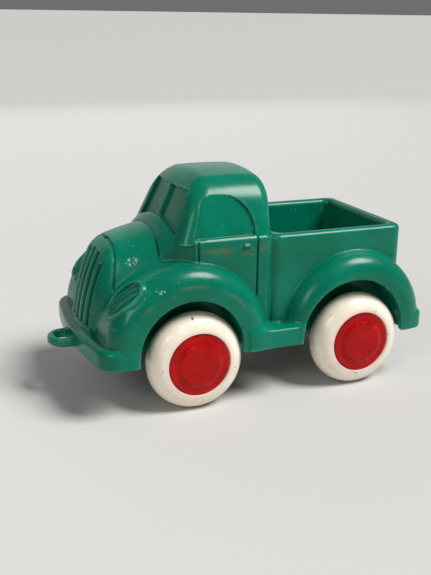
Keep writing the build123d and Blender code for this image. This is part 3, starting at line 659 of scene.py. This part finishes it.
def tyre_profile():
    """The tyre: a half circle tread between y = 24.2 and 37.6, a thin rounded lip that stands
    beside the hub's face, and the seat behind it."""
    swing = np.linspace(0.0, np.pi, 49)
    tread = np.stack([30.9 + 6.7 * np.cos(swing), 12.6 + 6.5 * np.sin(swing) ** 0.96], 1)
    foot = [(24.2, 9.0, 1.2), (24.6, 6.15, 0.3), (36.4, 6.15, 0.2), (36.4, 12.32, 0.1), (37.35, 12.32, 0.3),
            (37.75, 12.75, 0.35)]
    return np.concatenate([tread, softened([(24.2, 12.0, 0.1), *foot, (37.55, 13.1, 0.1)])])


def hub_profile():
    """The hub from the middle of its face to the end of its bore: a raised disc 17.8 mm across
    with a rounded edge, the flat ring round it, and the core behind."""
    face = [(38.5, 0.01, 0.0), (38.48, 4.0, 2.0), (38.42, 8.0, 0.75), (37.55, 9.15, 0.75), (37.55, 10.6, 0.5),
            (37.62, 11.8, 0.4), (37.3, 12.22, 0.25), (36.5, 12.22, 0.15)]
    core = [(36.5, 6.0, 0.1), (24.2, 6.0, 0.4), (24.2, 1.55, 0.2), (36.0, 1.55, 0.1), (36.0, 0.01, 0.0)]
    return softened([*face, *core])


def ivory_vinyl():
    """Ivory vinyl, slightly see-through at its surface: cloudy, brown dirt worked into the tread, a brown
    ring of dirt and painted shade in the crease by the hub, grey scuffs where it rolls, and a few dark
    specks."""
    ivory = Finish("ivory_vinyl", IOR=1.48, Subsurface_Weight=0.12, Subsurface_Radius=(0.004, 0.0025, 0.0015),
                   Subsurface_Scale=0.5)
    cloud = ivory.noise(0.009, 4)
    fine = ivory.noise(0.0013, 3, 0.6)
    radius = ivory.read("radius")
    base = ivory.mix(ivory.share(cloud, 0.36, 0.66), (0.82, 0.73, 0.58), (0.88, 0.82, 0.69))
    # A brown ring just outside the hub's lip: painted shade in the crease between tyre and hub, with dirt in
    # it.
    seam = (1 - ivory.share(abs(radius - 13.5), 0.1, 0.9)) * (0.4 + (cloud - 0.5) * 1.6)
    base = ivory.mix(seam * 0.3, base, (0.56, 0.33, 0.22))
    lip = 1 - ivory.share(radius, 12.7, 13.1)
    base = ivory.mix(lip * 0.8, base, (0.86, 0.66, 0.60))
    tread = ivory.share(radius, 17.6, 19.0) * ivory.share(cloud + (fine - 0.5) * 0.5, 0.42, 0.72)
    base = ivory.mix(tread * 0.42, base, (0.44, 0.31, 0.20))
    thread = abs(ivory.noise(0.007, 2, 0.5, (1, 1.8, 1)) - 0.5)
    scuffs = (1 - ivory.share(thread, 0.002, 0.008)) * ivory.share(ivory.noise(0.0035, 2), 0.56, 0.68)
    specks = ivory.share(ivory.noise(0.0012, 1, 0.4, (1, 1, 1), (0.3, 0.1, 0.4)), 0.765, 0.785)
    chip = ivory.patch((0.0281, 0.0346, 0.0370), (0.0006, 0.0010, 0.0010), 0.5)
    marks = scuffs * 0.35 + specks * 0.8 + chip * 0.9
    base = ivory.mix(marks, base, (0.16, 0.06, 0.035))
    ivory.colour(base)
    ivory.roughness(0.24 + (cloud - 0.5) * 0.2 + tread * 0.25 + marks * 0.3)
    ivory.bump(ivory.noise(0.003, 3) + marks * -0.6, 0.00008)
    return ivory.material


def red_plastic():
    """Hard glossy red plastic, with fine rubbing and a painted highlight on the raised disc's rim,
    and a few pale scratches."""
    red = Finish("red_hub_plastic", IOR=1.5, Specular_IOR_Level=0.2)
    cloud = red.noise(0.008, 3)
    radius = red.read("radius")
    base = red.mix(red.share(cloud, 0.35, 0.68), (0.34, 0.0, 0.0), (0.43, 0.0008, 0.0006))
    # The raised disc's rim lightened: partly rubbing, partly a painted highlight along its edge.
    rim = (1 - red.share(abs(radius - 8.3), 0.1, 0.6)) * red.share(red.noise(0.003, 2), 0.50, 0.70)
    base = red.mix(rim * 0.12, base, (0.80, 0.16, 0.12))
    thread = abs(red.noise(0.006, 2, 0.5, (1, 1, 2), (0.5, 0.2, 0.3)) - 0.5)
    hairs = (1 - red.share(thread, 0.0015, 0.005)) * red.share(red.noise(0.003, 2), 0.58, 0.68)
    base = red.mix(hairs * 0.35, base, (0.75, 0.30, 0.24))
    red.colour(base)
    red.roughness(0.22 + (cloud - 0.5) * 0.14 + rim * 0.15 + hairs * 0.25)
    red.bump(red.noise(0.004, 2) + hairs * -0.4, 0.00005)
    return red.material


tyre_finish, hub_finish = ivory_vinyl(), red_plastic()
for end, axle in (("front", FRONT_AXLE), ("rear", REAR_AXLE)):
    for side_name, side in (("left", 1), ("right", -1)):
        tyre = turned(f"{end}_{side_name}_balloon_tyre", tyre_profile(), axle, side, True)
        hub = turned(f"{end}_{side_name}_red_hub", hub_profile(), axle, side, False)
        tyre_row, hub_row = (tyre, tyre_finish, "tyre", "tyre_white"), (hub, hub_finish, "hub", "hub_red")
        for piece, finish, node, slot in (tyre_row, hub_row):
            piece.data.materials.append(finish)
            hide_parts(f"{end}_{side_name}_{node}")
            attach(piece, f"{end}_wheels")


# ---- Underside and motor ---------------------------------------------------------------
# A black base plate closes the body from below and is held by screws, as the motor is. The
# motor's two grey casing halves hold white acetal gears, a brass pinion on the rear axle and a
# steel spring, pin and arbor. Axles are turned steel, with white spacers beside the wheels.
def refinished(finish, *names):
    """Puts a material on every slot of these parts."""
    for name in names:
        for place in nodes[name].material_slots:
            place.material = finish


def moulded(name, dark, light, roughness, grain, depth):
    """A moulded plastic: cloudy between two shades, with a fine grain left by its mould and
    pale hairline scratches."""
    plastic = Finish(name, IOR=1.48)
    cloud = plastic.noise(0.012, 4)
    base = plastic.mix(plastic.share(cloud, 0.34, 0.68), dark, light)
    thread = abs(plastic.noise(0.009, 2, 0.5, (1, 2, 1)) - 0.5)
    hairs = (1 - plastic.share(thread, 0.001, 0.004)) * plastic.share(plastic.noise(0.005, 2), 0.52, 0.66)
    pale = tuple(0.5 + 0.5 * part for part in light)
    base = plastic.mix(hairs * 0.3, base, pale)
    plastic.colour(base)
    plastic.roughness(roughness + (cloud - 0.5) * 0.16 + hairs * 0.2)
    plastic.bump(plastic.noise(grain, 3, 0.6) + hairs * -0.5, depth)
    return plastic.material


def bare_metal(name, dark, light, roughness):
    """Turned or drawn metal: fine marks round or along it, and dull spots where it is handled."""
    metal = Finish(name, Metallic=1.0)
    marks = metal.noise(0.0006, 3, 0.6, (1, 0.12, 1))
    dull = metal.share(metal.noise(0.004, 4), 0.50, 0.70)
    base = metal.mix(metal.share(marks, 0.3, 0.7), dark, light)
    base = metal.mix(dull * 0.3, base, tuple(part * 0.45 for part in dark))
    metal.colour(base)
    metal.roughness(roughness + (marks - 0.5) * 0.2 + dull * 0.2)
    metal.bump(marks, 0.00002)
    return metal.material


darkest, lightest = (0.012, 0.012, 0.013), (0.022, 0.022, 0.023)
refinished(moulded("black_plate_plastic", darkest, lightest, 0.42, 0.0007, 0.00008), "base_plate")
steel = bare_metal("bright_steel", (0.48, 0.47, 0.46), (0.66, 0.65, 0.63), 0.26)
refinished(steel, "front_axle", "rear_axle", "clutch_pin", "spring_arbor", "mainspring")
refinished(steel, "base_screws", "motor_mount_screws", "motor_casing_screws")
refinished(moulded("white_spacer_plastic", (0.60, 0.59, 0.56), (0.72, 0.71, 0.68), 0.38, 0.001, 0.00004),
           "front_spacers", "rear_spacers")
refinished(moulded("grey_casing_plastic", (0.20, 0.21, 0.22), (0.28, 0.29, 0.30), 0.40, 0.0008, 0.00006),
           "motor_casing_left", "motor_casing_right")
refinished(moulded("white_gear_acetal", (0.66, 0.65, 0.60), (0.78, 0.77, 0.72), 0.30, 0.001, 0.00003),
           "clutch_gear", "spring_gear", "spring_cover")
refinished(bare_metal("pinion_brass", (0.56, 0.38, 0.14), (0.74, 0.53, 0.22), 0.28), "axle_pinion")


# ---- Floor, light and camera ----------------------------------------------------------
# A plain pale floor, daylight from high on the truck's left and a little behind it, two weak
# soft lamps that open the shadows, and a camera 15 cm above the floor, off the truck's left
# front corner.
def plain_material(name, colour, roughness=0.5):
    material = bpy.data.materials.new(name)
    material.use_nodes = True
    shader = material.node_tree.nodes["Principled BSDF"]
    shader.inputs["Base Color"].default_value = (*colour, 1)
    shader.inputs["Roughness"].default_value = roughness
    return material


FLOOR_REACH = 40.0
floor_corners = np.array([[-1, -1, 0], [1, -1, 0], [1, 1, 0], [-1, 1, 0]]) * FLOOR_REACH
floor = mesh_piece("floor", floor_corners, np.array([[0, 1, 2, 3]]))
floor.data.materials.append(plain_material("table", (0.56, 0.55, 0.53), 0.75))

world = bpy.data.worlds.new("room")
bpy.context.scene.world = world
world.use_nodes = True
world.node_tree.nodes["Background"].inputs["Color"].default_value = (0.9, 0.92, 0.95, 1)
world.node_tree.nodes["Background"].inputs["Strength"].default_value = 0.17


def area_lamp(name, place, aim, size, watts):
    """A soft rectangular lamp that points at the truck."""
    lamp = bpy.data.lights.new(name, "AREA")
    lamp.shape = "RECTANGLE"
    lamp.size, lamp.size_y = size
    lamp.energy = watts
    holder = bpy.data.objects.new(name, lamp)
    holder.location = place
    holder.rotation_euler = (Vector(aim) - Vector(place)).to_track_quat("-Z", "Y").to_euler()
    bpy.context.scene.collection.objects.link(holder)
    return holder


window = bpy.data.lights.new("window", "SUN")
window.energy = 3.9
window.angle = 0.45
sun = bpy.data.objects.new("window", window)
sun.rotation_euler = Vector((0.42, -0.30, -0.71)).to_track_quat("-Z", "Y").to_euler()
bpy.context.scene.collection.objects.link(sun)
area_lamp("fill", (0.7, 0.6, 0.55), (0, 0, 0.04), (0.35, 0.35), 2.4)
area_lamp("behind", (0.0, -0.9, 0.45), (0, 0, 0.05), (1.4, 0.7), 1.6)

CAMERA_PLACE = Vector((138.65, 320.25, 146.75)) * MM
CAMERA_AIM = Vector((20.6, 38.5, 49.5)) * MM
CAMERA_ROLL = 0.0158
camera_data = bpy.data.cameras.new("camera")
camera_data.lens = 54.73
camera_data.sensor_width = 36.0
camera_data.clip_start = 0.01
camera = bpy.data.objects.new("camera", camera_data)
facing = (CAMERA_AIM - CAMERA_PLACE).to_track_quat("-Z", "Y").to_matrix().to_4x4()
camera.matrix_world = Matrix.Translation(CAMERA_PLACE) @ facing @ Matrix.Rotation(CAMERA_ROLL, 4, "Z")
bpy.context.scene.collection.objects.link(camera)
bpy.context.scene.camera = camera

bpy.context.scene.view_settings.view_transform = "Standard"
